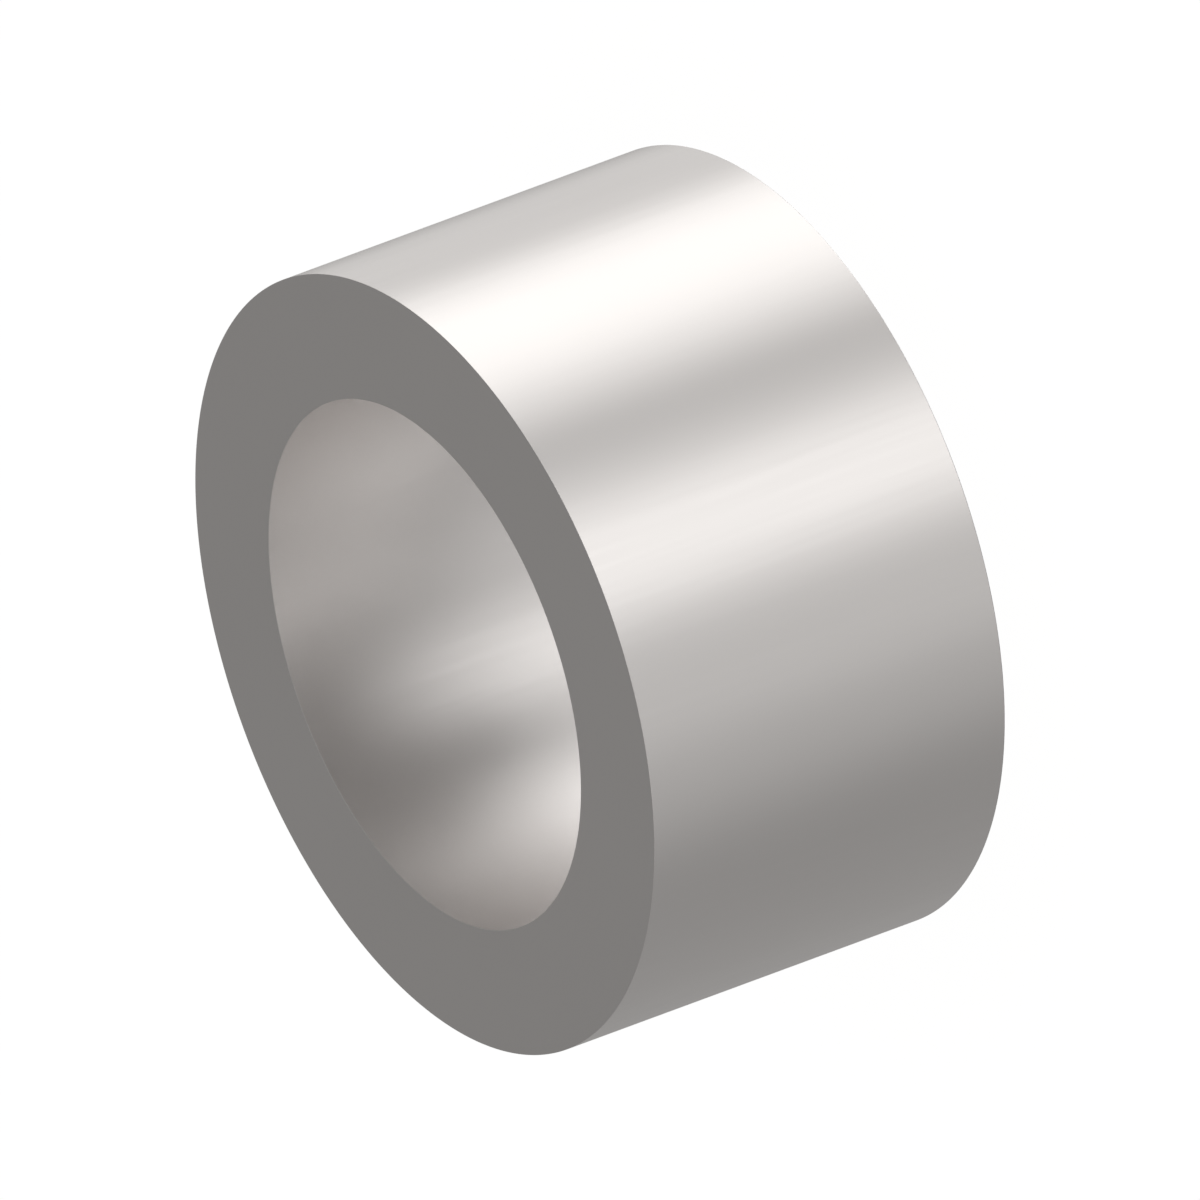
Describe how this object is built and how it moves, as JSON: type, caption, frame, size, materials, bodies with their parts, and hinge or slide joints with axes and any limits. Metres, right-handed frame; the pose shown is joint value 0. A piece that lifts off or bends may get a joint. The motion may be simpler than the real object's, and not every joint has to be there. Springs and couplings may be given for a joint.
{
  "type": "hinge tube",
  "caption": "Short thick-walled round steel tube with square-cut ends and a plain through bore that turns on a hinge pin.",
  "frame": {"origin": "centre of the end face that the tube stands on, on the axis of the bore", "axes": "+Z along the tube's axis, from the end face that it stands on to the other end face; the tube is round, so X and Y are free"},
  "size_m": [0.025, 0.025, 0.0129],
  "materials": {
    "bare_steel": "satin"
  },
  "bodies": {
    "root": {"hinge_tube": "bare_steel"}
  },
  "joints": []
}
